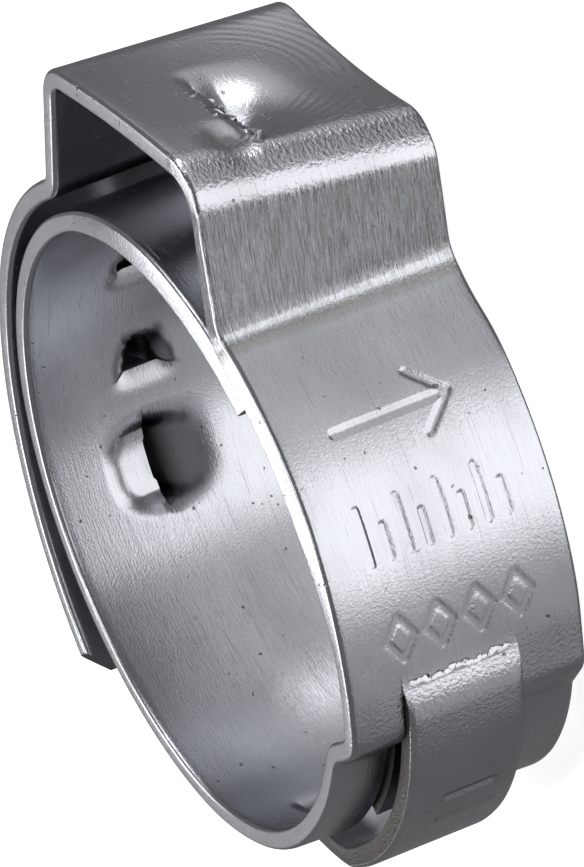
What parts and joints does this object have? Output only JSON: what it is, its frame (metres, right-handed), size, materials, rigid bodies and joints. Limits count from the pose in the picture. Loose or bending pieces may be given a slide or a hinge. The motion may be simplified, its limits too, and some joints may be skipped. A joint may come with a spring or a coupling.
{
  "type": "ear hose clamp",
  "caption": "Stepless hose clamp folded from one stainless strip, with a raised ear to pinch, a tongue sliding under a bridge, and pressed hooks in windows.",
  "frame": {"origin": "centre of the bore at mid width of the band", "axes": "+Z along the bore's axis, square to the band's edges; +X from the bore's centre through the middle of the ear; the joggled layer with the bridge is on -Y and the hooked overlap on +Y"},
  "size_m": [0.0231, 0.0212, 0.0072],
  "materials": {
    "strip": "rolled stainless strip, bright edges, light forming scratches"
  },
  "bodies": {
    "root": {"clamp_band": "strip"}
  },
  "joints": []
}
